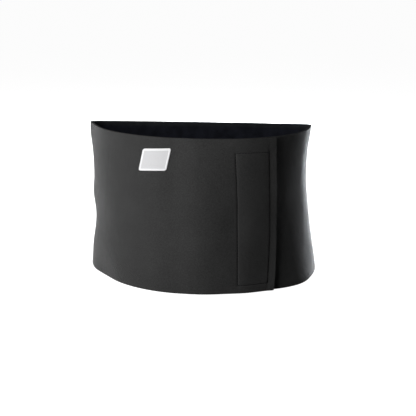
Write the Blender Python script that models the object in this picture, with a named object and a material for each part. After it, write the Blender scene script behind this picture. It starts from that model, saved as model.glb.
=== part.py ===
"""Abdominal belt: a wide neoprene waist belt, closed round the body at the front.

Metres, +Z up. The belt stands on its level lower rim. +X is the viewer's right when facing the front,
-Y is the front, and the origin is the middle of the bounding box, on the ground.

Every piece starts flat, as the belt lies before it is worn: X runs along the belt, Z is its height
and Y is the depth below its outer face. Each flat piece is then laid round the loop. The belt starts
at its under-end, at the front, passes to the right, round the back and the left, climbs over the
under-end and ends as the outer flap, which a hook strip holds to the layer below.
"""

import math
from collections import namedtuple
from functools import lru_cache

import bmesh
import bpy
import numpy as np
from mathutils import Matrix, Vector

# The loop, measured on its outer face
BELT_HEIGHT = 0.220
WAIST_WIDTH = 0.320
FRONT_DEPTH = 0.135
BACK_DEPTH = 0.040
BACK_DIP = 0.0065
BACK_ROUNDNESS = 2.3
FOLD_FRONT_LENGTH = 0.018
FOLD_BACK_LENGTH = 0.014

# Layers
WRAP_THICKNESS = 0.0030
LINING_THICKNESS = 0.0010
LINING_INSET = 0.0006
LAYER_GAP = 0.0003
FLAP_GAP = 0.0005

# Places along the belt, measured from the middle of the front: the under-end towards -X, the flap's
# end towards +X. The flap closes a little higher than the layer below it.
UNDER_REACH = 0.006
FLAP_END = 0.1195
FLAP_SLANT = 0.003
FLAP_RISE = 0.0015
RAMP_LENGTH = 0.026
RAMP_CLEARANCE = 0.0015
FRONT_HOLD_MARGIN = 0.010

# Hook strip inside the flap's end, and the stitched outline that shows on the flap
HOOK_WIDTH = 0.053
HOOK_THICKNESS = 0.0015
HOOK_END_MARGIN = 0.007
HOOK_TOP_MARGIN = 0.018
HOOK_BOTTOM_MARGIN = 0.009
HOOK_RISE_LENGTH = 0.007
STITCH_INSET = 0.002
GROOVE_DEPTH = 0.0013
GROOVE_HALF_WIDTH = 0.004

# Front label: its centre lies LABEL_REACH from the middle of the front, towards -X
LABEL_WIDTH = 0.0435
LABEL_HEIGHT = 0.0325
LABEL_THICKNESS = 0.0010
LABEL_SLANT = 0.010
LABEL_TILT = math.radians(4.5)
LABEL_CORNER_RADIUS = 0.003
LABEL_TOP_MARGIN = 0.0165
LABEL_REACH = 0.0558

# Fineness of the facets
FACET_TURN = math.radians(5.5)
FACET_LENGTH = 0.011
FACET_ROWS = 10
RAMP_FACETS = 5
STEPS_PER_FACET = 12
OUTLINE_STEPS = 1440
CORNER_SEGMENTS = 4
WELD = 1e-6

# Level sections of the loop, from the lower rim to the upper one, as shares: level of BELT_HEIGHT,
# width, sideways shift and the left corner's fold of WAIST_WIDTH, front of FRONT_DEPTH, and lean of
# the front towards +X of its depth. Left and right are how full the front's two halves are: 2 is an
# ellipse, more is squarer.
Section = namedtuple("Section", "level width shift fold front lean left right")
SECTIONS = (
    Section(level=0.0, width=1.062, shift=0.009, fold=0.010, front=1.078, lean=-0.16, left=1.65, right=2.75),
    Section(level=0.2, width=1.032, shift=0.002, fold=0.002, front=1.040, lean=-0.10, left=1.76, right=2.60),
    Section(level=0.4, width=1.004, shift=0.000, fold=0.000, front=1.010, lean=-0.05, left=1.85, right=2.46),
    Section(level=0.6, width=0.996, shift=-0.009, fold=0.001, front=0.990, lean=-0.01, left=1.91, right=2.37),
    Section(level=0.8, width=0.999, shift=-0.009, fold=0.004, front=0.970, lean=0.02, left=1.94, right=2.33),
    Section(level=1.0, width=1.012, shift=0.004, fold=0.015, front=0.955, lean=0.03, left=1.96, right=2.33),
)
MIDDLE = 0.5

# Heights of the flap's outer face above the loop: over the bare layer, then over the hook strip
LIFT_OVER_LAYER = WRAP_THICKNESS + LAYER_GAP + LINING_THICKNESS + FLAP_GAP
LIFT_OVER_HOOK = LIFT_OVER_LAYER + HOOK_THICKNESS + LAYER_GAP
RAMP_END = -UNDER_REACH - RAMP_CLEARANCE
RAMP_START = RAMP_END - RAMP_LENGTH
HOOK_END = FLAP_END - HOOK_END_MARGIN
HOOK_START = HOOK_END - HOOK_WIDTH
HOOK_RISE_START = HOOK_START - HOOK_RISE_LENGTH
FRONT_HOLD = FLAP_END + FRONT_HOLD_MARGIN


def smooth(share):
    """Ease from 0 to 1 with level ends."""
    share = min(max(share, 0.0), 1.0)
    return share * share * (3.0 - 2.0 * share)


def section_at(level):
    """The section at a share of the belt's height, on a smooth curve through the table's rows."""
    levels = [row.level for row in SECTIONS]
    table = np.array(SECTIONS)
    slopes = np.gradient(table, levels, axis=0)
    upper = min(max(int(np.searchsorted(levels, level)), 1), len(levels) - 1)
    lower = upper - 1
    span = levels[upper] - levels[lower]
    t = (level - levels[lower]) / span
    values = (
        (2 * t**3 - 3 * t**2 + 1) * table[lower]
        + (t**3 - 2 * t**2 + t) * span * slopes[lower]
        + (3 * t**2 - 2 * t**3) * table[upper]
        + (t**3 - t**2) * span * slopes[upper]
    )
    return Section(*values)


Outline = namedtuple("Outline", "length x y round right_corner left_corner")


@lru_cache(maxsize=None)
def outline_at(level):
    """One level outline of the loop: points with their length from the middle of the front.

    The points run from the left corner over the front to the right corner, and back behind.
    """
    section = section_at(level)
    angle = np.linspace(-math.pi, math.pi, OUTLINE_STEPS + 1)
    cosine = np.cos(angle)
    sine = np.sin(angle)
    front = sine < 0
    power = 2 / np.where(front, np.where(cosine < 0, section.left, section.right), BACK_ROUNDNESS)
    half_width = WAIST_WIDTH * section.width / 2
    depth = np.where(front, FRONT_DEPTH * section.front * (1 + section.lean * cosine), BACK_DEPTH)
    x = WAIST_WIDTH * section.shift + half_width * np.sign(cosine) * np.abs(cosine) ** power
    y = depth * np.sign(sine) * np.abs(sine) ** power
    fold_length = np.where(front, FOLD_FRONT_LENGTH, FOLD_BACK_LENGTH)
    x -= WAIST_WIDTH * section.fold * np.exp(-((y / fold_length) ** 2)) * (cosine < 0)
    length = np.concatenate([[0.0], np.cumsum(np.hypot(np.diff(x), np.diff(y)))])
    half = OUTLINE_STEPS // 2
    middle = np.interp(0.0, x[: half + 1], length[: half + 1])
    return Outline(length - middle, x, y, length[-1], length[half] - middle, length[-1] - middle)


def length_at(level, length):
    """Length round the outline at a level, for a length along the belt.

    The front lies unstretched. The sides and the back take up what the loop is longer or shorter
    than at its middle level, and the corners stay one above the other.
    """
    middle = outline_at(MIDDLE)
    here = outline_at(level)
    along = (-FRONT_HOLD, FRONT_HOLD, middle.right_corner, middle.left_corner,
             middle.round - FRONT_HOLD, middle.round + FRONT_HOLD)
    around = (-FRONT_HOLD, FRONT_HOLD, here.right_corner, here.left_corner,
              here.round - FRONT_HOLD, here.round + FRONT_HOLD)
    return np.interp(length, along, around)


def outline_point(outline, length):
    """The point of an outline at a length round it, which may pass the middle of the front."""
    turned = (length - outline.length[0]) % outline.round + outline.length[0]
    return Vector((np.interp(turned, outline.length, outline.x), np.interp(turned, outline.length, outline.y)))


def climb_at(length):
    """Share of the climb over the under-end, from 0 before the ramp to 1 on the whole flap."""
    return smooth((length - outline_at(MIDDLE).round - RAMP_START) / RAMP_LENGTH)


def lift_at(length):
    """How far the belt's outer face stands off the loop: none until it climbs over its own start."""
    past_front = length - outline_at(MIDDLE).round
    over_layer = climb_at(length)
    over_hook = smooth((past_front - HOOK_RISE_START) / HOOK_RISE_LENGTH)
    return LIFT_OVER_LAYER * over_layer + (LIFT_OVER_HOOK - LIFT_OVER_LAYER) * over_hook


def place(flat):
    """Lay one point of a flat piece round the loop."""
    level = round(flat.z / BELT_HEIGHT, 6)
    climb = climb_at(flat.x)
    outline = outline_at(level)
    around = length_at(level, flat.x) - FLAP_SLANT * (level - MIDDLE) * climb
    reach = WRAP_THICKNESS
    point = outline_point(outline, around)
    along = outline_point(outline, around + reach) - outline_point(outline, around - reach)
    outward = Vector((along.y, -along.x)).normalized()
    backness = max(0.0, point.y / BACK_DEPTH)
    point += outward * (lift_at(flat.x) - flat.y)
    return Vector((point.x, point.y, flat.z + FLAP_RISE * climb - BACK_DIP * level * backness))


def turns_at(level, steps):
    """How far the outline at a level turns at each step along the belt."""
    outline = outline_at(level)
    points = [outline_point(outline, length_at(level, step)) for step in steps]
    return [
        (here - before).angle(after - here, 0.0)
        for before, here, after in zip(points, points[1:], points[2:])
    ]


@lru_cache(maxsize=None)
def facet_lengths():
    """Places along the belt where its facets meet: closer where the loop turns tightly at any level."""
    outline = outline_at(MIDDLE)
    steps = np.arange(0.0, outline.round, FACET_LENGTH / STEPS_PER_FACET)
    turns = np.max([turns_at(level, steps) for level in (0.0, MIDDLE, 1.0)], axis=0)
    lengths = [0.0]
    turned = 0.0
    passed = 0
    for step, turn in zip(steps[1:], turns):
        turned += turn
        passed += 1
        if turned >= FACET_TURN or passed >= STEPS_PER_FACET:
            lengths.append(step)
            turned = 0.0
            passed = 0
    overlap = [outline.round + length for length in lengths if length < FLAP_END]
    ramp = [outline.round + RAMP_START + RAMP_LENGTH * i / RAMP_FACETS for i in range(RAMP_FACETS + 1)]
    rise = [outline.round + HOOK_RISE_START, outline.round + HOOK_START]
    return lengths + overlap + ramp + rise


def cut(bm, position, normal, region=None):
    """Cut the mesh along a plane, or only those of its faces that a test picks."""
    faces = [face for face in bm.faces if region is None or region(face)]
    edges = {edge for face in faces for edge in face.edges}
    verts = {vert for face in faces for vert in face.verts}
    bmesh.ops.bisect_plane(
        bm, geom=[*verts, *edges, *faces], dist=WELD, plane_co=position, plane_no=normal
    )


def cut_facets(bm):
    """Cut a flat piece wherever the loop's facets meet, so that all layers share them."""
    for length in facet_lengths():
        cut(bm, (length, 0, 0), (1, 0, 0))
    for row in range(1, FACET_ROWS):
        cut(bm, (0, 0, BELT_HEIGHT * row / FACET_ROWS), (0, 0, 1))


def split_quads(bm):
    """Split four-sided faces along the diagonal that rises towards +X, so that layers stay parallel."""
    for face in [face for face in bm.faces if len(face.verts) == 4]:
        verts = face.verts
        diagonals = ((verts[0], verts[2]), (verts[1], verts[3]))
        rising = max(diagonals, key=lambda ends: abs((ends[1].co - ends[0].co).dot((1, 0, 1))))
        bmesh.utils.face_split(face, *rising)


def slab(start, end, bottom, top, outer, inner):
    """A flat closed box: along the belt, up its height, and from its outer depth to its inner one."""
    bm = bmesh.new()
    bmesh.ops.create_cube(bm, size=1.0)
    bmesh.ops.scale(bm, vec=(end - start, inner - outer, top - bottom), verts=bm.verts)
    bmesh.ops.translate(bm, vec=((start + end) / 2, (outer + inner) / 2, (bottom + top) / 2), verts=bm.verts)
    return bm


StitchOutline = namedtuple("StitchOutline", "left right bottom top")


def stitch_outline():
    """The stitched rectangle on the flap, just inside the hook strip's edges."""
    middle_of_front = outline_at(MIDDLE).round
    return StitchOutline(
        left=middle_of_front + HOOK_START + STITCH_INSET,
        right=middle_of_front + HOOK_END - STITCH_INSET,
        bottom=HOOK_BOTTOM_MARGIN + STITCH_INSET,
        top=BELT_HEIGHT - HOOK_TOP_MARGIN - STITCH_INSET,
    )


def press_stitches(bm):
    """Pull the outer face down into a valley along the stitched rectangle."""
    stitches = stitch_outline()
    valley = (-GROOVE_HALF_WIDTH, 0.0, GROOVE_HALF_WIDTH)
    for line in (stitches.left, stitches.right):
        for side in valley:
            cut(bm, (line + side, 0, 0), (1, 0, 0))
    flap_start = stitches.left - GROOVE_HALF_WIDTH - LAYER_GAP
    for line in (stitches.bottom, stitches.top):
        for side in valley:
            cut(bm, (0, 0, line + side), (0, 0, 1), lambda face: min(v.co.x for v in face.verts) > flap_start)
    for vert in bm.verts:
        if vert.co.y > LAYER_GAP:
            continue
        beyond_x = max(stitches.left - vert.co.x, vert.co.x - stitches.right)
        beyond_z = max(stitches.bottom - vert.co.z, vert.co.z - stitches.top)
        outside = math.hypot(max(beyond_x, 0.0), max(beyond_z, 0.0))
        inside = max(0.0, -max(beyond_x, beyond_z))
        vert.co.y += GROOVE_DEPTH * max(0.0, 1.0 - (outside + inside) / GROOVE_HALF_WIDTH)


def neoprene_wrap():
    """The foam belt with its knitted outer face, in one strip from the under-end to the flap's end."""
    bm = slab(-UNDER_REACH, outline_at(MIDDLE).round + FLAP_END, 0.0, BELT_HEIGHT, 0.0, WRAP_THICKNESS)
    cut_facets(bm)
    press_stitches(bm)
    return bm


def inner_lining():
    """The thin lining on the wrap's inner face, a little short of its edges."""
    outer = WRAP_THICKNESS + LAYER_GAP
    bm = slab(
        LINING_INSET - UNDER_REACH, outline_at(MIDDLE).round + FLAP_END - LINING_INSET,
        LINING_INSET, BELT_HEIGHT - LINING_INSET, outer, outer + LINING_THICKNESS,
    )
    cut_facets(bm)
    return bm


def hook_strip():
    """The hook tape sewn inside the flap's end, which grips the layer below."""
    middle_of_front = outline_at(MIDDLE).round
    outer = WRAP_THICKNESS + LINING_THICKNESS + 2 * LAYER_GAP
    bm = slab(
        middle_of_front + HOOK_START, middle_of_front + HOOK_END,
        HOOK_BOTTOM_MARGIN, BELT_HEIGHT - HOOK_TOP_MARGIN, outer, outer + HOOK_THICKNESS,
    )
    cut_facets(bm)
    return bm


def front_label():
    """The small slanted label on the belt's outer face, with its four corners rounded."""
    bm = slab(
        -LABEL_WIDTH / 2, LABEL_WIDTH / 2, -LABEL_HEIGHT / 2, LABEL_HEIGHT / 2,
        -LAYER_GAP - LABEL_THICKNESS, -LAYER_GAP,
    )
    corners = [edge for edge in bm.edges if abs(edge.verts[0].co.y - edge.verts[1].co.y) > LABEL_THICKNESS / 2]
    bmesh.ops.bevel(
        bm, geom=corners, offset=LABEL_CORNER_RADIUS, segments=CORNER_SEGMENTS, profile=0.5, affect="EDGES"
    )
    slant = Matrix.Identity(4)
    slant[0][2] = LABEL_SLANT / LABEL_HEIGHT
    tilt = Matrix.Rotation(-LABEL_TILT, 4, "Y")
    centre_height = BELT_HEIGHT - LABEL_TOP_MARGIN - LABEL_HEIGHT / 2
    centre = Matrix.Translation((outline_at(MIDDLE).round - LABEL_REACH, 0.0, centre_height))
    bmesh.ops.transform(bm, matrix=centre @ tilt @ slant, verts=bm.verts)
    cut_facets(bm)
    return bm


Look = namedtuple("Look", "colour roughness")
PIECES = (
    (neoprene_wrap, Look(colour=(0.028, 0.028, 0.030), roughness=0.85)),
    (inner_lining, Look(colour=(0.010, 0.012, 0.020), roughness=0.90)),
    (hook_strip, Look(colour=(0.012, 0.012, 0.012), roughness=0.70)),
    (front_label, Look(colour=(0.85, 0.85, 0.85), roughness=0.60)),
)


def fabric(name, look):
    """A Principled material with one piece's colour and roughness."""
    material = bpy.data.materials.new(name)
    material.use_nodes = True
    shader = material.node_tree.nodes["Principled BSDF"]
    shader.inputs["Base Color"].default_value = (*look.colour, 1.0)
    shader.inputs["Roughness"].default_value = look.roughness
    shader.inputs["Metallic"].default_value = 0.0
    return material


def add_piece(make, look, collection, parent):
    """Make one flat piece, lay it round the loop and add it as an object."""
    name = make.__name__
    bm = make()
    split_quads(bm)
    for vert in bm.verts:
        vert.co = place(vert.co)
    bmesh.ops.recalc_face_normals(bm, faces=bm.faces)
    mesh = bpy.data.meshes.new(name)
    bm.to_mesh(mesh)
    bm.free()
    mesh.shade_smooth()
    mesh.set_sharp_from_angle(angle=math.radians(40))
    mesh.materials.append(fabric(name, look))
    piece = bpy.data.objects.new(name, mesh)
    piece.parent = parent
    collection.objects.link(piece)
    return piece


def box_middle(piece):
    """Middle of a piece's box, seen from above, in its own coordinates."""
    xs = [vert.co.x for vert in piece.data.vertices]
    ys = [vert.co.y for vert in piece.data.vertices]
    return Vector(((min(xs) + max(xs)) / 2, (min(ys) + max(ys)) / 2, 0.0))


def main():
    for leftover in list(bpy.data.objects):
        bpy.data.objects.remove(leftover, do_unlink=True)
    collection = bpy.data.collections.new("abdominal_belt")
    bpy.context.scene.collection.children.link(collection)
    base = bpy.data.objects.new("belt_base", None)
    collection.objects.link(base)
    pieces = [add_piece(make, look, collection, base) for make, look in PIECES]
    base.location = -box_middle(pieces[0])


main()
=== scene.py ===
import math
from collections import namedtuple
from functools import lru_cache

import bpy
import numpy as np
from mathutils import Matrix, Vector


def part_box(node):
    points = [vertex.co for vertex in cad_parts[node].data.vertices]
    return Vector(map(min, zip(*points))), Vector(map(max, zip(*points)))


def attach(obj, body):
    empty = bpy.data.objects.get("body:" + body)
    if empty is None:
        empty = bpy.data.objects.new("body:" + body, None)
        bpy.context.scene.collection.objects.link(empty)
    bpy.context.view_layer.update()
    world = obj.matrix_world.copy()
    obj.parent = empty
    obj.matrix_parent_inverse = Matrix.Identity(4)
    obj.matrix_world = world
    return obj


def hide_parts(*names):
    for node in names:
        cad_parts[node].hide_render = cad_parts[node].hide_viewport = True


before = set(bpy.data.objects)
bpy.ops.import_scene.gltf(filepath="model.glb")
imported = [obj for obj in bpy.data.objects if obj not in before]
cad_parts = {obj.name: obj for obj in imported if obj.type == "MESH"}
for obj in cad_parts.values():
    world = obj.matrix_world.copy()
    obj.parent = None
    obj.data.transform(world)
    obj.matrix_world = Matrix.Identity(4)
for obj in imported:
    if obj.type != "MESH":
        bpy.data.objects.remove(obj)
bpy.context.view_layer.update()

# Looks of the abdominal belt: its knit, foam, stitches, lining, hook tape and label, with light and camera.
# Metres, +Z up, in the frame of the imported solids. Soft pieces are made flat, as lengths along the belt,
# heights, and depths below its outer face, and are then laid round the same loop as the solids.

# The loop, measured on its outer face
BELT_HEIGHT = 0.220
WAIST_WIDTH = 0.320
FRONT_DEPTH = 0.135
BACK_DEPTH = 0.040
BACK_DIP = 0.0058
BACK_ROUNDNESS = 2.3
FOLD_FRONT_LENGTH = 0.018
FOLD_BACK_LENGTH = 0.014
OUTLINE_STEPS = 2880

# Layers
WRAP_THICKNESS = 0.0030
LINING_THICKNESS = 0.0010
LAYER_GAP = 0.0003
FLAP_GAP = 0.0005
BOND_GAP = 0.0001

# Places along the belt, measured from the middle of the front
UNDER_REACH = 0.006
FLAP_END = 0.1195
FLAP_SLANT = 0.003
FLAP_RISE = 0.0010
RAMP_LENGTH = 0.026
RAMP_CLEARANCE = 0.0015
FRONT_HOLD_MARGIN = 0.010

# Hook strip and stitched outline
HOOK_WIDTH = 0.053
HOOK_THICKNESS = 0.0015
HOOK_END_MARGIN = 0.007
HOOK_TOP_MARGIN = 0.018
HOOK_BOTTOM_MARGIN = 0.009
HOOK_RISE_LENGTH = 0.007
STITCH_INSET = 0.002

# Level sections of the loop, as shares: level of BELT_HEIGHT, width, shift and the left corner's fold
# of WAIST_WIDTH, front of FRONT_DEPTH, lean of the front towards +X, fullness of its two halves.
Section = namedtuple("Section", "level width shift fold front lean left right")
SECTIONS = (
    Section(level=0.0, width=1.062, shift=0.009, fold=0.010, front=1.078, lean=-0.16, left=1.65, right=2.75),
    Section(level=0.2, width=1.032, shift=0.002, fold=0.002, front=1.040, lean=-0.10, left=1.76, right=2.60),
    Section(level=0.4, width=1.004, shift=0.0, fold=0.0, front=1.010, lean=-0.05, left=1.85, right=2.46),
    Section(level=0.6, width=0.996, shift=-0.009, fold=0.001, front=0.990, lean=-0.01, left=1.91, right=2.37),
    Section(level=0.8, width=0.999, shift=-0.009, fold=0.004, front=0.970, lean=0.02, left=1.94, right=2.33),
    Section(level=1.0, width=1.012, shift=0.004, fold=0.015, front=0.955, lean=0.03, left=1.96, right=2.33),
)

# The level where lengths along the belt hold as they are
MIDDLE = 0.5

LIFT_OVER_LAYER = WRAP_THICKNESS + LAYER_GAP + LINING_THICKNESS + FLAP_GAP
LIFT_OVER_HOOK = LIFT_OVER_LAYER + HOOK_THICKNESS + LAYER_GAP
RAMP_END = -UNDER_REACH - RAMP_CLEARANCE
RAMP_START = RAMP_END - RAMP_LENGTH
HOOK_END = FLAP_END - HOOK_END_MARGIN
HOOK_START = HOOK_END - HOOK_WIDTH
HOOK_RISE_START = HOOK_START - HOOK_RISE_LENGTH
FRONT_HOLD = FLAP_END + FRONT_HOLD_MARGIN


def smooth(share):
    share = np.clip(share, 0.0, 1.0)
    return share * share * (3.0 - 2.0 * share)


def section_at(level):
    """The section at a share of the belt's height, on a smooth curve through the table's rows."""
    levels = [row.level for row in SECTIONS]
    table = np.array(SECTIONS)
    slopes = np.gradient(table, levels, axis=0)
    upper = min(max(int(np.searchsorted(levels, level)), 1), len(levels) - 1)
    lower = upper - 1
    span = levels[upper] - levels[lower]
    t = (level - levels[lower]) / span
    values = (
        (2 * t**3 - 3 * t**2 + 1) * table[lower]
        + (t**3 - 2 * t**2 + t) * span * slopes[lower]
        + (3 * t**2 - 2 * t**3) * table[upper]
        + (t**3 - t**2) * span * slopes[upper]
    )
    return Section(*values)


Outline = namedtuple("Outline", "length x y round right_corner left_corner")


@lru_cache(maxsize=None)
def outline_at(level):
    """One level outline of the loop: points with their length from the middle of the front."""
    section = section_at(level)
    angle = np.linspace(-math.pi, math.pi, OUTLINE_STEPS + 1)
    cosine = np.cos(angle)
    sine = np.sin(angle)
    front = sine < 0
    power = 2 / np.where(front, np.where(cosine < 0, section.left, section.right), BACK_ROUNDNESS)
    half_width = WAIST_WIDTH * section.width / 2
    depth = np.where(front, FRONT_DEPTH * section.front * (1 + section.lean * cosine), BACK_DEPTH)
    x = WAIST_WIDTH * section.shift + half_width * np.sign(cosine) * np.abs(cosine) ** power
    y = depth * np.sign(sine) * np.abs(sine) ** power
    fold_length = np.where(front, FOLD_FRONT_LENGTH, FOLD_BACK_LENGTH)
    x -= WAIST_WIDTH * section.fold * np.exp(-((y / fold_length) ** 2)) * (cosine < 0)
    length = np.concatenate([[0.0], np.cumsum(np.hypot(np.diff(x), np.diff(y)))])
    half = OUTLINE_STEPS // 2
    middle = np.interp(0.0, x[: half + 1], length[: half + 1])
    return Outline(length - middle, x, y, length[-1], length[half] - middle, length[-1] - middle)


ROUND = outline_at(MIDDLE).round
RIGHT_CORNER = outline_at(MIDDLE).right_corner
LEFT_CORNER = outline_at(MIDDLE).left_corner - ROUND


def length_at(level, length):
    """Length round the outline at a level, for lengths along the belt."""
    middle = outline_at(MIDDLE)
    here = outline_at(level)
    along = (-FRONT_HOLD, FRONT_HOLD, middle.right_corner, middle.left_corner,
             middle.round - FRONT_HOLD, middle.round + FRONT_HOLD)
    around = (-FRONT_HOLD, FRONT_HOLD, here.right_corner, here.left_corner,
              here.round - FRONT_HOLD, here.round + FRONT_HOLD)
    return np.interp(length, along, around)


def outline_points(outline, length):
    turned = (length - outline.length[0]) % outline.round + outline.length[0]
    x = np.interp(turned, outline.length, outline.x)
    y = np.interp(turned, outline.length, outline.y)
    return np.stack([x, y], axis=-1)


def climb_at(length):
    """How far the flap has climbed its ramp, from 0 to 1."""
    return smooth((length - ROUND - RAMP_START) / RAMP_LENGTH)


def lift_at(length):
    """How far the solid's outer face stands out over the layer and the hook strip below it."""
    over_hook = smooth((length - ROUND - HOOK_RISE_START) / HOOK_RISE_LENGTH)
    return LIFT_OVER_LAYER * climb_at(length) + (LIFT_OVER_HOOK - LIFT_OVER_LAYER) * over_hook


# Stitched outline on the flap. Its top drops towards the flap's end. Each side has how deep it is pulled
# in, and how wide the fabric slopes towards it from outside and from inside the outline.
LEFT = ROUND + HOOK_START + STITCH_INSET
RIGHT = ROUND + HOOK_END - STITCH_INSET
BOTTOM = HOOK_BOTTOM_MARGIN + STITCH_INSET
TOP = BELT_HEIGHT - HOOK_TOP_MARGIN - STITCH_INSET
TOP_DROP = 0.0012
Side = namedtuple("Side", "depth outside inside")
LEFT_SIDE = Side(depth=0.0010, outside=0.0009, inside=0.0009)
RIGHT_SIDE = Side(depth=0.0002, outside=0.0005, inside=0.0004)
LEVEL_SIDE = Side(depth=0.0009, outside=0.0005, inside=0.0005)

# How far the flap is drawn back at its stitched outline and its end: all over, at the top, at the foot
Draw = namedtuple("Draw", "even top foot")
LEFT_DRAW = Draw(even=-0.0008, top=0.0028, foot=0.0)
RIGHT_DRAW = Draw(even=0.0012, top=0.0026, foot=0.0058)
END_DRAW = Draw(even=0.0003, top=0.0018, foot=0.0048)
DRAW_START = 0.030
FOOT_LENGTH = 0.022


def drawn(side, height):
    level = height / BELT_HEIGHT
    return side.even + side.top * smooth(2 * level - 1) + side.foot * np.exp(-height / FOOT_LENGTH)


def past_stitches(along):
    """Share of the way from the outline's right side to the flap's end."""
    return np.clip((along - RIGHT) / (ROUND + FLAP_END - RIGHT), 0.0, 1.0)


def draw_at(along, height):
    """How far the flap is drawn back towards -X."""
    to_left = smooth((along - LEFT + DRAW_START) / DRAW_START) * drawn(LEFT_DRAW, height)
    to_right = smooth((along - LEFT) / (RIGHT - LEFT))
    across = to_left + to_right * (drawn(RIGHT_DRAW, height) - drawn(LEFT_DRAW, height))
    return across + past_stitches(along) * (drawn(END_DRAW, height) - drawn(RIGHT_DRAW, height))


# Shallow waves of the closed belt: the middle of each, as length from the middle of the front and as
# height, how far it spreads both ways, and how far it stands out.
Wave = namedtuple("Wave", "place height wide high out")
WAVES = (
    Wave(place=0.016, height=0.080, wide=0.028, high=0.090, out=0.0036),
    Wave(place=0.100, height=0.038, wide=0.022, high=0.052, out=-0.0030),
    Wave(place=0.062, height=0.102, wide=0.016, high=0.024, out=-0.0018),
    Wave(place=LEFT_CORNER + 0.076, height=0.0, wide=0.026, high=0.026, out=-0.0024),
    Wave(place=LEFT_CORNER + 0.030, height=0.004, wide=0.020, high=0.030, out=0.0022),
    Wave(place=LEFT_CORNER, height=0.034, wide=0.030, high=0.018, out=0.0012),
    Wave(place=LEFT_CORNER, height=0.110, wide=0.030, high=0.022, out=0.0038),
    Wave(place=LEFT_CORNER, height=0.207, wide=0.030, high=0.024, out=0.0030),
    Wave(place=RIGHT_CORNER, height=0.150, wide=0.036, high=0.200, out=0.0018),
    Wave(place=RIGHT_CORNER - 0.080, height=0.120, wide=0.034, high=0.040, out=-0.0028),
    Wave(place=RIGHT_CORNER - 0.076, height=-0.004, wide=0.034, high=0.018, out=0.0046),
    Wave(place=RIGHT_CORNER - 0.045, height=0.018, wide=0.022, high=0.045, out=-0.0016),
    Wave(place=RIGHT_CORNER - 0.052, height=0.170, wide=0.020, high=0.028, out=0.0010),
    Wave(place=RIGHT_CORNER, height=0.025, wide=0.030, high=0.040, out=0.0012),
)


def waved(along, height):
    """How far the waves stand out, alike in every layer."""
    place = (along + ROUND / 2) % ROUND - ROUND / 2
    total = 0.0
    for wave in WAVES:
        sideways = ((place - wave.place) / wave.wide) ** 2
        upward = ((height - wave.height) / wave.high) ** 2
        total = total + wave.out * np.exp(-sideways - upward)
    return total


# Outlines are worked out for levels rounded to LEVEL_DECIMALS, and a tangent spans TANGENT_REACH both ways
LEVEL_DECIMALS = 3
TANGENT_REACH = 0.0030


def round_loop(along, height, depth):
    """Flat points laid round the loop, as its outlines are measured."""
    along, height, depth = (np.array(v) for v in np.broadcast_arrays(along, height, depth))
    along = along - draw_at(along, height)
    points = np.empty(along.shape + (3,))
    levels = np.round(np.clip(height / BELT_HEIGHT, 0.0, 1.0), LEVEL_DECIMALS)
    climb = climb_at(along)
    lift = lift_at(along) + waved(along, height)
    for level in np.unique(levels):
        here = levels == level
        outline = outline_at(float(level))
        around = length_at(level, along[here]) - FLAP_SLANT * (level - MIDDLE) * climb[here]
        point = outline_points(outline, around)
        after = outline_points(outline, around + TANGENT_REACH)
        before = outline_points(outline, around - TANGENT_REACH)
        tangent = after - before
        outward = np.stack([tangent[:, 1], -tangent[:, 0]], axis=-1)
        outward /= np.linalg.norm(outward, axis=-1, keepdims=True)
        backness = np.maximum(0.0, point[:, 1] / BACK_DEPTH)
        points[here, :2] = point + outward * (lift[here] - depth[here])[:, None]
        points[here, 2] = height[here] + FLAP_RISE * climb[here] - BACK_DIP * level * backness
    return points


# Points and levels at which the loop's box is measured
SHIFT_STEPS_ALONG = 900
SHIFT_STEPS_UP = 12


def loop_shift():
    """What moves the loop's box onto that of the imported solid, as seen from above."""
    along = np.linspace(-UNDER_REACH, ROUND + FLAP_END, SHIFT_STEPS_ALONG)
    heights = np.linspace(0.0, BELT_HEIGHT, SHIFT_STEPS_UP)
    plan = np.concatenate([round_loop(along, height, 0.0)[:, :2] for height in heights])
    middle = (plan.min(axis=0) + plan.max(axis=0)) / 2
    low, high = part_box("neoprene_wrap")
    return np.array([(low[0] + high[0]) / 2 - middle[0], (low[1] + high[1]) / 2 - middle[1], 0.0])


SHIFT = loop_shift()


def lay(flat):
    """Rows of length along the belt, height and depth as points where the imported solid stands."""
    return round_loop(flat[:, 0], flat[:, 1], flat[:, 2]) + SHIFT


# The belt's outer face: foam settles over the ramp, and puffs up over the hook strip from its stitches
SOFT_RAMP_LENGTH = 0.044
SOFT_RAMP_END = 0.009
PAD_RISE_LENGTH = 0.008
PAD_EDGE_LENGTH = 0.0007
PLAIN_RISE_LENGTH = 0.040
OUTLINE_FADE = 0.005

# The margin past the stitches is pressed down at them, and curls up at the flap's end
MARGIN_DEPTH = 0.0012
MARGIN_CURL = 0.0011
MIDDLE_CURL = 0.0018
CURL_HEIGHT = 0.148
CURL_SPREAD = 0.042


def slope(distance, side, outside):
    """How deep one side of the outline pulls the fabric in, at a distance from its stitches."""
    width = np.where(outside, side.outside, side.inside)
    return side.depth * np.exp(-distance / width)


def beyond_outline(height, top):
    """How far a height lies above or below the stitched outline."""
    return np.maximum(np.maximum(BOTTOM - height, height - top), 0.0)


def stitch_pull(along, height):
    """How deep the stitches pull the fabric in."""
    top = TOP - TOP_DROP * (along - LEFT) / (RIGHT - LEFT)
    above = beyond_outline(height, top)
    beside = np.maximum(np.maximum(LEFT - along, along - RIGHT), 0.0)
    sides = (
        slope(np.hypot(along - LEFT, above), LEFT_SIDE, along < LEFT),
        slope(np.hypot(along - RIGHT, above), RIGHT_SIDE, along > RIGHT),
        slope(np.hypot(height - BOTTOM, beside), LEVEL_SIDE, height < BOTTOM),
        slope(np.hypot(height - top, beside), LEVEL_SIDE, height > top),
    )
    return np.max(sides, axis=0)


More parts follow.
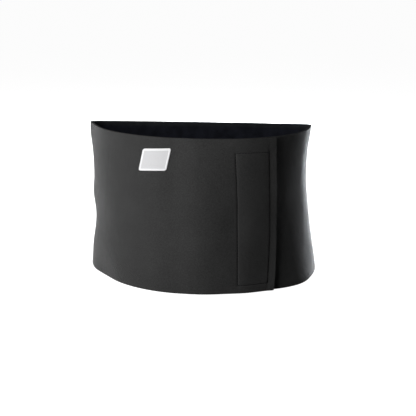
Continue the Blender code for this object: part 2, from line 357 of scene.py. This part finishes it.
def pressed(along, height):
    """How deep the belt's outer face lies below the solid's."""
    beyond = smooth(beyond_outline(height, TOP) / OUTLINE_FADE)
    ramp = LIFT_OVER_LAYER * smooth((along - ROUND - SOFT_RAMP_END) / SOFT_RAMP_LENGTH + 1.0)
    pad = np.where(along > LEFT, 1.0 - np.exp(-np.maximum(along - LEFT, 0.0) / PAD_RISE_LENGTH), 0.0)
    plain = smooth((along - LEFT) / PLAIN_RISE_LENGTH + 0.5)
    rise = (LIFT_OVER_HOOK - LIFT_OVER_LAYER) * (pad + (plain - pad) * beyond)
    curl = MARGIN_CURL + MIDDLE_CURL * np.exp(-(((height - CURL_HEIGHT) / CURL_SPREAD) ** 2))
    past = past_stitches(along)
    before = np.exp(-np.maximum(RIGHT - along, 0.0) / PAD_EDGE_LENGTH)
    margin = MARGIN_DEPTH * np.where(along > RIGHT, 1.0 - past, before)
    solid_lift = lift_at(along - draw_at(along, height))
    return stitch_pull(along, height) + margin * (1.0 - beyond) - curl * past + solid_lift - ramp - rise


# Meshes

def add_mesh(name, points, faces, materials, material_index=None, uv=None):
    mesh = bpy.data.meshes.new(name)
    mesh.from_pydata(points.tolist(), [], faces)
    for material in materials:
        mesh.materials.append(material)
    if material_index is not None:
        mesh.polygons.foreach_set("material_index", material_index)
    if uv is not None:
        layer = mesh.uv_layers.new(name="belt")
        corners = np.empty(len(mesh.loops), dtype=np.int32)
        mesh.loops.foreach_get("vertex_index", corners)
        layer.data.foreach_set("uv", uv[corners].astype(np.float32).ravel())
    mesh.shade_smooth()
    piece = bpy.data.objects.new(name, mesh)
    bpy.context.scene.collection.objects.link(piece)
    return piece


def rows(*columns):
    """Arrays of one shape as rows of numbers."""
    return np.stack(columns, axis=-1).reshape(-1, len(columns))


def grid_faces(high, wide):
    """The border of a grid of points, as one ring of their numbers, and the grid's faces."""
    index = np.arange(high * wide).reshape(high, wide)
    border = np.concatenate([index[0, :-1], index[:-1, -1], index[-1, :0:-1], index[:0:-1, 0]])
    faces = rows(index[:-1, :-1], index[:-1, 1:], index[1:, 1:], index[1:, :-1])
    return border, faces


def strip_faces(ring, below):
    """The faces between two rings of points."""
    return rows(ring, below, np.roll(below, -1), np.roll(ring, -1))


# Cut edge of a sheet: how far each line of it stays back from the cut, its share of the thickness
EdgeLine = namedtuple("EdgeLine", "back share")


def mirrored(half):
    """A cut edge's lines as far as its middle one, and back to the inner face."""
    return half + tuple(EdgeLine(line.back, 1.0 - line.share) for line in half[-2::-1])


def closed_sheet(name, along, height, outer, inner, edge, edge_width, materials):
    """A sheet with two faces and a shaped cut edge, laid round the loop.

    along and height are the grid's lines, outer and inner give the two faces' depths, and edge lists
    the lines of the cut edge from the outer face to the inner one. The last material is the edge's,
    from the edge's second strip on, so with the belt the jersey's rounded corner beside its outer face
    takes the dark foam colour too, as painted shade that keeps a highlight off the rim.
    """
    along, height = np.meshgrid(along, height)
    border, grid = grid_faces(*along.shape)
    outer_face = rows(along, height, outer(along, height))
    inner_face = rows(along, height, inner(along, height))
    out_along = np.zeros(along.shape)
    out_along[:, 0] = -1
    out_along[:, -1] = 1
    out_height = np.zeros(along.shape)
    out_height[0] = -1
    out_height[-1] = 1
    out = rows(out_along, out_height, np.zeros(along.shape))[border]
    through = inner_face[border] - outer_face[border]
    cut = [outer_face[border] + out * (edge_width - line.back) + through * line.share for line in edge]
    flat = np.concatenate([outer_face, *cut, inner_face])

    edge_start = len(outer_face)
    inner_start = edge_start + len(edge) * len(border)
    cut_rings = np.arange(edge_start, inner_start).reshape(len(edge), len(border))
    rings = [border, *cut_rings, inner_start + border]
    strips = [strip_faces(ring, below) for ring, below in zip(rings, rings[1:])]
    faces = np.concatenate([grid, *strips, inner_start + grid[:, ::-1]])
    material_index = np.zeros(len(faces), dtype=np.int32)
    # From the edge's second strip on: the cut foam, and with it the jersey's rounded corner, painted dark as
    # painted shade that keeps a highlight off the rim.
    first_corner_shade_strip = len(grid) + len(border)
    last_cut = first_corner_shade_strip + len(border) * (len(edge) - 1)
    material_index[first_corner_shade_strip:last_cut] = len(materials) - 1
    return add_mesh(name, lay(flat), faces.tolist(), materials, material_index, flat[:, :2])


def even_depth(depth):
    """A face of a sheet that lies at one depth all over."""
    return lambda along, height: np.full(along.shape, depth)


# A stretch of grid lines closer than the others
Stretch = namedtuple("Stretch", "start end step")
LINE_MATCH = 0.0001


def spaced(start, end, step, *stretches):
    """Grid lines from start to end, a step apart, and closer in the stretches."""
    lines = [start]
    while lines[-1] < end:
        here = lines[-1]
        near = [s.step for s in stretches if s.start - LINE_MATCH <= here < s.end - LINE_MATCH]
        starts = [s.start for s in stretches if here + LINE_MATCH < s.start < here + step]
        lines.append(min([here + min(near, default=step)] + starts))
    lines[-1] = end
    if lines[-1] - lines[-2] < step / 10:
        del lines[-2]
    return np.array(lines)


# Materials

def node(tree, kind, inputs=None, **settings):
    """A shader node with its settings, and its inputs set to values or linked to sockets."""
    made = tree.nodes.new(kind)
    for name, value in settings.items():
        setattr(made, name, value)
    for name, value in (inputs or {}).items():
        if isinstance(value, bpy.types.NodeSocket):
            tree.links.new(value, made.inputs[name])
        else:
            made.inputs[name].default_value = value
    return made


def maths(tree, operation, *values):
    """The result of a maths node on sockets and numbers."""
    made = tree.nodes.new("ShaderNodeMath")
    made.operation = operation
    for socket, value in zip(made.inputs, values):
        if isinstance(value, bpy.types.NodeSocket):
            tree.links.new(value, socket)
        else:
            socket.default_value = value
    return made.outputs[0]


def weighted(tree, *terms):
    """The sum of sockets, each with its weight."""
    total = 0.0
    for socket, weight in terms:
        total = maths(tree, "MULTIPLY_ADD", socket, weight, total)
    return total


def ranged(tree, value, start, end):
    """How far a value is on its way from start to end, from 0 to 1."""
    made = node(tree, "ShaderNodeMapRange", {"Value": value, "From Min": start, "From Max": end})
    return made.outputs["Result"]


def grey(value):
    """A grey, from black at 0 to white at 1, as a socket takes it."""
    return (value, value, value, 1.0)


def mixed(tree, low, high, factor):
    """A colour between two, each given as red, green and blue or as a socket."""
    first, second = (c if isinstance(c, bpy.types.NodeSocket) else (*c, 1.0) for c in (low, high))
    mix = node(tree, "ShaderNodeMix", {"Factor": factor, "A": first, "B": second}, data_type="RGBA")
    return mix.outputs["Result"]


def model_place(tree):
    """Where a point lies in the model."""
    return node(tree, "ShaderNodeTexCoord").outputs["Object"]


def flat_place(tree):
    """Where a point lies on its flat piece, as two lengths."""
    flat = node(tree, "ShaderNodeUVMap", uv_map="belt").outputs["UV"]
    split = node(tree, "ShaderNodeSeparateXYZ", {"Vector": flat})
    return split.outputs["X"], split.outputs["Y"]


def noise(tree, scale, detail=3.0):
    inputs = {"Vector": model_place(tree), "Scale": scale, "Detail": detail}
    return node(tree, "ShaderNodeTexNoise", inputs).outputs["Fac"]


def new_material(name, **sockets):
    """A material whose shader has its sockets set, each named with _ for a space."""
    material = bpy.data.materials.new(name)
    material.use_nodes = True
    shader = material.node_tree.nodes["Principled BSDF"]
    for socket, value in sockets.items():
        shader.inputs[socket.replace("_", " ")].default_value = value
    return material, material.node_tree, shader


def surface(tree, shader, colour, height, depth):
    """Give a shader its colour, and a relief of a depth from a height between 0 and 1."""
    bump = node(tree, "ShaderNodeBump", {"Height": height, "Distance": depth, "Strength": 1.0})
    tree.links.new(bump.outputs["Normal"], shader.inputs["Normal"])
    tree.links.new(colour, shader.inputs["Base Color"])


# A jersey knit: how steep its legs of yarn stand, and the share of its relief from row to row
LEG_SLANT = 1.3
ROW_SHARE = 0.7


def knit_height(tree, wale, course):
    """Relief of a fine jersey knit: two slanting legs of yarn in each wale, one row for each course."""
    along, height = flat_place(tree)
    across = maths(tree, "DIVIDE", along, wale)
    up = maths(tree, "DIVIDE", height, course)
    share = maths(tree, "FRACT", across)
    from_middle = maths(tree, "ABSOLUTE", maths(tree, "SUBTRACT", share, 0.5))
    slanted = maths(tree, "MULTIPLY_ADD", from_middle, LEG_SLANT, up)
    turn = maths(tree, "COSINE", maths(tree, "MULTIPLY", slanted, math.tau))
    yarn = maths(tree, "MULTIPLY_ADD", turn, 0.5, 0.5)
    row = maths(tree, "MULTIPLY_ADD", yarn, ROW_SHARE, 1.0 - ROW_SHARE)
    leg = maths(tree, "ABSOLUTE", maths(tree, "SINE", maths(tree, "MULTIPLY", across, math.tau)))
    return maths(tree, "MULTIPLY", maths(tree, "SQRT", leg), row)


def jersey_material():
    """Outer knit: dark grey, with a fine grain and faint large patches."""
    material, tree, shader = new_material(
        "jersey", Roughness=0.9, Specular_IOR_Level=0.2,
        Sheen_Weight=0.35, Sheen_Roughness=0.35, Sheen_Tint=grey(1.0),
    )
    knit = knit_height(tree, wale=0.00090, course=0.00075)
    fibre = noise(tree, scale=2600.0)
    patch = noise(tree, scale=22.0)
    mottle = maths(tree, "SUBTRACT", noise(tree, scale=620.0, detail=1.0), 0.5)
    height = weighted(tree, (knit, 1.0), (fibre, 0.35))
    shade = weighted(tree, (height, 0.45), (patch, 0.5), (mottle, 1.1))
    colour = mixed(tree, (0.018, 0.018, 0.018), (0.042, 0.042, 0.042), shade)
    surface(tree, shader, colour, height, depth=0.00016)
    return material


def foam_and_corner_shade_material():
    """The foam's open cells at its cut edge, also laid on the jersey's rounded corner beside it as painted
    shade that keeps a highlight off the rim.
    """
    material, tree, shader = new_material("foam", Roughness=0.95, Specular_IOR_Level=0.2)
    voronoi = node(tree, "ShaderNodeTexVoronoi", {"Vector": model_place(tree), "Scale": 4200.0})
    cells = voronoi.outputs["Distance"]
    colour = mixed(tree, (0.003, 0.003, 0.003), (0.011, 0.011, 0.011), cells)
    surface(tree, shader, colour, cells, depth=0.00015)
    return material


HEM_WIDTH = 0.0065
HEM_BLUR = 0.001


def lining_material():
    """Blue-black knit with a short pile, and a greyer hem along both rims."""
    material, tree, shader = new_material(
        "lining", Roughness=0.95, Specular_IOR_Level=0.15,
        Sheen_Weight=0.02, Sheen_Roughness=0.5, Sheen_Tint=(0.85, 0.9, 1.0, 1.0),
    )
    knit = knit_height(tree, wale=0.0011, course=0.0009)
    pile = noise(tree, scale=1500.0, detail=4.0)
    patch = ranged(tree, noise(tree, scale=85.0, detail=4.0), 0.36, 0.64)
    height = weighted(tree, (knit, 1.0), (pile, 0.8))
    shade = weighted(tree, (height, 0.3), (patch, 0.7))
    inside = mixed(tree, (0.003, 0.0035, 0.006), (0.010, 0.011, 0.017), shade)
    hem = mixed(tree, (0.007, 0.008, 0.0095), (0.014, 0.0155, 0.018), shade)
    from_foot = flat_place(tree)[1]
    from_rim = maths(tree, "MINIMUM", from_foot, maths(tree, "SUBTRACT", BELT_HEIGHT, from_foot))
    in_hem = ranged(tree, from_rim, HEM_WIDTH + HEM_BLUR, HEM_WIDTH - HEM_BLUR)
    surface(tree, shader, mixed(tree, inside, hem, in_hem), height, depth=0.00025)
    return material


def thread_material():
    material, tree, shader = new_material("thread", Roughness=0.9, Specular_IOR_Level=0.05)
    inputs = {"Vector": model_place(tree), "Scale": 700.0, "Distortion": 1.0}
    bands = node(tree, "ShaderNodeTexWave", inputs, wave_type="BANDS", bands_direction="DIAGONAL")
    ply = bands.outputs["Fac"]
    colour = mixed(tree, (0.003, 0.003, 0.0035), (0.010, 0.010, 0.011), ply)
    surface(tree, shader, colour, ply, depth=0.00008)
    return material


def tape_material():
    material, tree, shader = new_material("hook_tape", Roughness=0.55, Specular_IOR_Level=0.4)
    weave = noise(tree, scale=1800.0)
    colour = mixed(tree, (0.008, 0.008, 0.009), (0.020, 0.020, 0.022), weave)
    surface(tree, shader, colour, weave, depth=0.0001)
    return material


# Front label
LABEL_WIDTH = 0.0435
LABEL_HEIGHT = 0.0312
LABEL_SLANT = 0.010
LABEL_TILT = math.radians(4.5)
LABEL_CORNER_RADIUS = 0.003
LABEL_TOP_MARGIN = 0.0165
LABEL_REACH = 0.0558
LABEL_FRAME = 0.0030
LABEL_FRAME_BLUR = 0.0002
LABEL_THREAD_PITCH = 0.0005


def label_material():
    """Woven label: a white frame round a plain field that is slightly greyer, each painted darker in the gaps
    between its threads as painted shade.
    """
    material, tree, shader = new_material(
        "label", Roughness=0.62, Specular_IOR_Level=0.35, Sheen_Weight=0.1
    )
    x, z = flat_place(tree)
    warp, weft = (
        maths(tree, "SINE", maths(tree, "MULTIPLY", axis, math.tau / LABEL_THREAD_PITCH)) for axis in (x, z)
    )
    weave = maths(tree, "MULTIPLY_ADD", maths(tree, "MULTIPLY", warp, weft), 0.5, 0.5)
    to_sides = [
        maths(tree, "SUBTRACT", size / 2, maths(tree, "ABSOLUTE", axis))
        for size, axis in ((LABEL_WIDTH, x), (LABEL_HEIGHT, z))
    ]
    from_side = maths(tree, "MINIMUM", *to_sides)
    in_field = ranged(tree, from_side, LABEL_FRAME - LABEL_FRAME_BLUR, LABEL_FRAME + LABEL_FRAME_BLUR)
    # Each tone is darker where the weave's relief is low: painted shade in the gaps between the threads.
    frame_weave_gap_shade = mixed(tree, (0.66, 0.66, 0.67), (0.82, 0.82, 0.83), weave)
    field_weave_gap_shade = mixed(tree, (0.46, 0.46, 0.47), (0.61, 0.61, 0.62), weave)
    surface(tree, shader, mixed(tree, frame_weave_gap_shade, field_weave_gap_shade, in_field), weave, depth=0.00006)
    return material


# The foam belt
BELT_STEP_ALONG = 0.0035
BELT_STEP_UP = 0.005
FOAM_EDGE_WIDTH = 0.0005
FOAM_EDGE = mirrored((
    EdgeLine(back=0.00022, share=0.01),
    EdgeLine(back=0.00006, share=0.05),
    EdgeLine(back=0.00002, share=0.12),
    EdgeLine(back=0.00012, share=0.17),
    EdgeLine(back=0.00004, share=0.30),
    EdgeLine(back=0.0, share=0.50),
))


# How far the closer grid lines reach past the ramp, the hook strip's rise and the stitches, past those
# at the top, which slant, and into the pad
RAMP_ZONE = 0.002
RISE_ZONE = 0.001
STITCH_ZONE = 0.003
TOP_ZONE = 0.004
PAD_ZONE = 0.020


def belt():
    end = ROUND + FLAP_END
    ramp = Stretch(start=ROUND + RAMP_START - RAMP_ZONE, end=ROUND + RAMP_END + RAMP_ZONE, step=0.002)
    rise = Stretch(start=ROUND + HOOK_RISE_START - RISE_ZONE, end=ROUND + HOOK_START + RISE_ZONE, step=0.0012)
    left = Stretch(start=LEFT - STITCH_ZONE, end=LEFT + STITCH_ZONE, step=0.0004)
    pad = Stretch(start=LEFT + STITCH_ZONE, end=LEFT + PAD_ZONE, step=0.0015)
    right = Stretch(start=RIGHT - STITCH_ZONE, end=RIGHT + STITCH_ZONE, step=0.0004)
    margin = Stretch(start=RIGHT + STITCH_ZONE, end=end, step=0.0010)
    bottom = Stretch(start=BOTTOM - STITCH_ZONE, end=BOTTOM + STITCH_ZONE, step=0.0003)
    top = Stretch(start=TOP - TOP_ZONE, end=TOP + STITCH_ZONE, step=0.0003)
    along = spaced(
        FOAM_EDGE_WIDTH - UNDER_REACH, end - FOAM_EDGE_WIDTH, BELT_STEP_ALONG,
        ramp, rise, left, pad, right, margin,
    )
    height = spaced(FOAM_EDGE_WIDTH, BELT_HEIGHT - FOAM_EDGE_WIDTH, BELT_STEP_UP, bottom, top)
    return closed_sheet(
        "belt", along, height, pressed, even_depth(WRAP_THICKNESS),
        FOAM_EDGE, FOAM_EDGE_WIDTH, [jersey_material(), foam_and_corner_shade_material()],
    )


# The lining, cut back a little from the foam's edge
LINING_INSET = 0.0006
LINING_STEP_ALONG = 0.004
LINING_STEP_UP = 0.006
LINING_EDGE_WIDTH = 0.0004
LINING_EDGE = (
    EdgeLine(back=0.00012, share=0.08),
    EdgeLine(back=0.0, share=0.30),
    EdgeLine(back=0.0, share=0.70),
    EdgeLine(back=0.00012, share=0.92),
)


def lining():
    outer = WRAP_THICKNESS + BOND_GAP
    thickness = LAYER_GAP + LINING_THICKNESS - BOND_GAP
    back = LINING_INSET + LINING_EDGE_WIDTH
    along = spaced(back - UNDER_REACH, ROUND + FLAP_END - back, LINING_STEP_ALONG)
    height = spaced(back, BELT_HEIGHT - back, LINING_STEP_UP)
    return closed_sheet(
        "inner_lining_cloth", along, height, even_depth(outer), even_depth(outer + thickness),
        LINING_EDGE, LINING_EDGE_WIDTH, [lining_material()],
    )


# The hook tape inside the flap
TAPE_STEP_ALONG = 0.003
TAPE_STEP_UP = 0.004
TAPE_EDGE_WIDTH = 0.0003
TAPE_EDGE = mirrored((
    EdgeLine(back=0.0001, share=0.2),
    EdgeLine(back=0.0, share=0.5),
))


def hook_tape():
    outer = WRAP_THICKNESS + LINING_THICKNESS + 2 * LAYER_GAP
    start = ROUND + HOOK_START + TAPE_EDGE_WIDTH
    end = ROUND + HOOK_END - TAPE_EDGE_WIDTH
    foot = HOOK_BOTTOM_MARGIN + TAPE_EDGE_WIDTH
    top = BELT_HEIGHT - HOOK_TOP_MARGIN - TAPE_EDGE_WIDTH
    along = spaced(start, end, TAPE_STEP_ALONG)
    height = spaced(foot, top, TAPE_STEP_UP)
    return closed_sheet(
        "hook_tape", along, height, even_depth(outer), even_depth(outer + HOOK_THICKNESS),
        TAPE_EDGE, TAPE_EDGE_WIDTH, [tape_material()],
    )


# The label's relief: its face and its underside over the belt, a raised line along its frame, and its
# rounded border
LABEL_STEPS_ALONG = 88
LABEL_STEPS_UP = 66
LABEL_FACE = 0.00095
LABEL_UNDERSIDE = 0.00008
LABEL_LINE_RISE = 0.00012
LABEL_LINE_SPREAD = 0.0006
LABEL_ROUNDING = 0.0005
LABEL_ROUNDING_DROP = 0.00035


def label_grid():
    """Points of the upright label from its middle, and how far each lies inside its border."""
    half_x = LABEL_WIDTH / 2
    half_z = LABEL_HEIGHT / 2
    x, z = np.meshgrid(
        np.linspace(-1, 1, LABEL_STEPS_ALONG + 1) * half_x, np.linspace(-1, 1, LABEL_STEPS_UP + 1) * half_z
    )
    inside = np.minimum(half_x - np.abs(x), half_z - np.abs(z))
    # squeeze the grid's corners onto the rounded outline
    past_x = np.abs(x) - (half_x - LABEL_CORNER_RADIUS)
    past_z = np.abs(z) - (half_z - LABEL_CORNER_RADIUS)
    corner = (past_x > 0) & (past_z > 0)
    squeeze = (np.maximum(past_x, past_z) / np.hypot(past_x, past_z))[corner]
    x[corner] = np.sign(x[corner]) * (half_x - LABEL_CORNER_RADIUS + past_x[corner] * squeeze)
    z[corner] = np.sign(z[corner]) * (half_z - LABEL_CORNER_RADIUS + past_z[corner] * squeeze)
    return x, z, inside


def label():
    """The bare label: a slanted rounded patch with a raised line along its frame."""
    x, z, inside = label_grid()
    line = LABEL_LINE_RISE * np.exp(-(((inside - LABEL_FRAME / 2) / LABEL_LINE_SPREAD) ** 2))
    to_border = 1.0 - np.clip(inside / LABEL_ROUNDING, 0.0, 1.0)
    drop = LABEL_ROUNDING_DROP * (1.0 - np.sqrt(1.0 - to_border**2))
    slanted = x + z * LABEL_SLANT / LABEL_HEIGHT
    cosine = math.cos(LABEL_TILT)
    sine = math.sin(LABEL_TILT)
    along = ROUND - LABEL_REACH + cosine * slanted - sine * z
    height = BELT_HEIGHT - LABEL_TOP_MARGIN - LABEL_HEIGHT / 2 + sine * slanted + cosine * z
    border, grid = grid_faces(*x.shape)
    face = rows(along, height, drop - line - LABEL_FACE)
    under = face[border]
    under[:, 2] = -LABEL_UNDERSIDE
    below = len(face) + np.arange(len(border))
    faces = grid.tolist() + strip_faces(border, below).tolist() + [below[::-1].tolist()]
    uv = np.concatenate([rows(x, z), np.zeros((len(border), 2))])
    return add_mesh("label_patch", lay(np.concatenate([face, under])), faces, [label_material()], uv=uv)


# Stitches
STITCH_PITCH = 0.0040
STITCH_LENGTH = 0.0033
STITCH_LIFT = 0.00008
STITCH_ARCH = 0.00035
STITCH_RINGS = 9
STITCH_SIDES = 8
THREAD_RADIUS = 0.00036
END_TAPER = 0.9
Run = namedtuple("Run", "start end")
RUNS = (
    Run(start=(LEFT, BOTTOM), end=(LEFT, TOP)),
    Run(start=(RIGHT, BOTTOM), end=(RIGHT, TOP - TOP_DROP)),
    Run(start=(LEFT, BOTTOM), end=(RIGHT, BOTTOM)),
    Run(start=(LEFT, TOP), end=(RIGHT, TOP - TOP_DROP)),
)


def stitch_template():
    """One arched stitch of thread as rows of (lengthwise, sideways, depth), and its faces."""
    share = np.linspace(-1.0, 1.0, STITCH_RINGS)
    angle = np.arange(STITCH_SIDES) * math.tau / STITCH_SIDES
    share, angle = np.meshgrid(share, angle, indexing="ij")
    radius = THREAD_RADIUS * np.sqrt(1.0 - END_TAPER * share**6)
    arch = -STITCH_ARCH * (1.0 - share**2)
    points = rows(share * STITCH_LENGTH / 2, radius * np.cos(angle), arch + radius * np.sin(angle))
    rings = np.arange(STITCH_RINGS * STITCH_SIDES).reshape(STITCH_RINGS, STITCH_SIDES)
    turned = np.roll(rings, -1, axis=1)
    faces = rows(rings[:-1], turned[:-1], turned[1:], rings[1:]).tolist()
    return points, faces + [rings[0, ::-1].tolist(), rings[-1].tolist()]


def stitching():
    template, template_faces = stitch_template()
    flat = []
    faces = []
    for run in RUNS:
        start = np.array(run.start)
        end = np.array(run.end)
        length = np.linalg.norm(end - start)
        count = round(length / STITCH_PITCH)
        direction = (end - start) / length
        across = np.array([-direction[1], direction[0]])
        for number in range(count):
            middle = start + direction * length * (number + 0.5) / count
            spot = middle + template[:, :1] * direction + template[:, 1:2] * across
            depth = pressed(middle[0], middle[1]) - STITCH_LIFT + template[:, 2]
            first = len(flat) * len(template)
            flat.append(np.column_stack([spot, depth]))
            faces += [[first + corner for corner in face] for face in template_faces]
    return add_mesh("flap_stitching", lay(np.concatenate(flat)), faces, [thread_material()])


Piece = namedtuple("Piece", "make cad_node is_sheet")
PIECES = (
    Piece(make=belt, cad_node="neoprene_wrap", is_sheet=True),
    Piece(make=lining, cad_node="inner_lining", is_sheet=True),
    Piece(make=hook_tape, cad_node="hook_strip", is_sheet=False),
    Piece(make=label, cad_node="front_label", is_sheet=False),
)
for make, cad_node, is_sheet in PIECES:
    piece = make()
    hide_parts(cad_node)
    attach(piece, "root")
stitches = stitching()
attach(stitches, "root")

# Floor: white paper, lit from below as far as the camera sees, and dim to the belt
FLOOR_REACH = 30.0
FLOOR_LEVEL = -0.0002
FLOOR_BOUNCE = 0.2
FLOOR_GLOW = 0.97
PAPER = 0.4


def camera_sees(tree):
    return node(tree, "ShaderNodeLightPath").outputs["Is Camera Ray"]


def floor_material():
    material, tree, shader = new_material(
        "floor", Roughness=1.0, Specular_IOR_Level=0.0, Base_Color=grey(FLOOR_BOUNCE)
    )
    paper = node(tree, "ShaderNodeBsdfDiffuse", {"Color": grey(PAPER)}).outputs["BSDF"]
    glow = node(tree, "ShaderNodeEmission", {"Strength": FLOOR_GLOW}).outputs["Emission"]
    both = node(tree, "ShaderNodeAddShader")
    tree.links.new(paper, both.inputs[0])
    tree.links.new(glow, both.inputs[1])
    mix = node(tree, "ShaderNodeMixShader", {"Fac": camera_sees(tree)})
    tree.links.new(shader.outputs["BSDF"], mix.inputs[1])
    tree.links.new(both.outputs[0], mix.inputs[2])
    tree.links.new(mix.outputs[0], tree.nodes["Material Output"].inputs["Surface"])
    return material


def add_floor():
    corners = FLOOR_REACH * np.array([(-1, -1, 0), (1, -1, 0), (1, 1, 0), (-1, 1, 0)])
    floor = add_mesh("floor", corners + (0.0, 0.0, FLOOR_LEVEL), [(0, 1, 2, 3)], [floor_material()])


AMBIENT = 0.002


def add_world():
    """White to the camera, and nearly dark to the belt."""
    world = bpy.data.worlds.new("studio")
    world.use_nodes = True
    tree = world.node_tree
    background = tree.nodes["Background"]
    background.inputs["Color"].default_value = grey(1.0)
    strength = maths(tree, "MULTIPLY_ADD", camera_sees(tree), 1.0 - AMBIENT, AMBIENT)
    tree.links.new(strength, background.inputs["Strength"])
    bpy.context.scene.world = world


# Lights, each a panel that faces the point the camera looks at
WHITE = (1.0, 1.0, 1.0)
COOL = (0.93, 0.96, 1.0)
Lamp =namedtuple("Lamp", "name azimuth elevation distance wide high power tint", defaults=(WHITE,))
LAMPS = (
    Lamp("key", azimuth=-36.0, elevation=25.0, distance=0.8, wide=0.6, high=0.7, power=6.6),
    Lamp("side", azimuth=-70.0, elevation=10.0, distance=0.8, wide=0.5, high=0.5, power=2.1),
    Lamp("left_rear", azimuth=-140.0, elevation=0.0, distance=1.6, wide=0.8, high=0.2, power=8.0, tint=COOL),
    Lamp("right", azimuth=110.0, elevation=0.0, distance=1.6, wide=0.8, high=0.2, power=0.9, tint=COOL),
    Lamp("low", azimuth=116.0, elevation=-13.0, distance=0.42, wide=0.30, high=0.05, power=0.20, tint=COOL),
    Lamp("top", azimuth=180.0, elevation=62.0, distance=1.3, wide=0.9, high=0.7, power=8.0),
    Lamp("rim", azimuth=151.0, elevation=-1.0, distance=1.6, wide=0.8, high=0.1, power=25.0, tint=COOL),
    Lamp("glow", azimuth=167.0, elevation=-1.0, distance=1.6, wide=0.8, high=0.1, power=150.0, tint=COOL),
)

# Camera, from the loop's own origin, with its focal length in pixels of a picture PICTURE_WIDTH wide
AIM = (0.0141, -0.050, 0.1012)
CAMERA_AZIMUTH = 5.0
CAMERA_ELEVATION = 14.5
CAMERA_DISTANCE = 1.6
CAMERA_CLIP_END = 100.0
SENSOR_WIDTH = 36.0
FOCAL_LENGTH = 1082.7
PICTURE_WIDTH = 416.0
TARGET = Vector(SHIFT + AIM)


def away(azimuth, elevation):
    """Direction from the belt at an azimuth, 0 in front and 90 towards +X, and an elevation."""
    a = math.radians(azimuth)
    e = math.radians(elevation)
    return Vector((math.sin(a) * math.cos(e), -math.cos(a) * math.cos(e), math.sin(e)))


def aimed(name, data, azimuth, elevation, distance):
    """A light or camera that looks at the target from a direction and distance."""
    made = bpy.data.objects.new(name, data)
    direction = away(azimuth, elevation)
    made.location = TARGET + direction * distance
    made.rotation_euler = direction.to_track_quat("Z", "Y").to_euler()
    bpy.context.scene.collection.objects.link(made)
    return made


def add_light(lamp):
    light = bpy.data.lights.new(lamp.name, "AREA")
    light.shape = "RECTANGLE"
    light.size = lamp.wide
    light.size_y = lamp.high
    light.energy = lamp.power
    light.color = lamp.tint
    aimed(lamp.name, light, lamp.azimuth, lamp.elevation, lamp.distance)


def add_camera():
    camera = bpy.data.cameras.new("camera")
    camera.sensor_width = SENSOR_WIDTH
    camera.lens = SENSOR_WIDTH * FOCAL_LENGTH / PICTURE_WIDTH
    camera.clip_end = CAMERA_CLIP_END
    view = aimed("camera", camera, CAMERA_AZIMUTH, CAMERA_ELEVATION, CAMERA_DISTANCE)
    bpy.context.scene.camera = view
    bpy.context.scene.view_settings.view_transform = "Standard"


add_floor()
add_world()
for lamp in LAMPS:
    add_light(lamp)
add_camera()
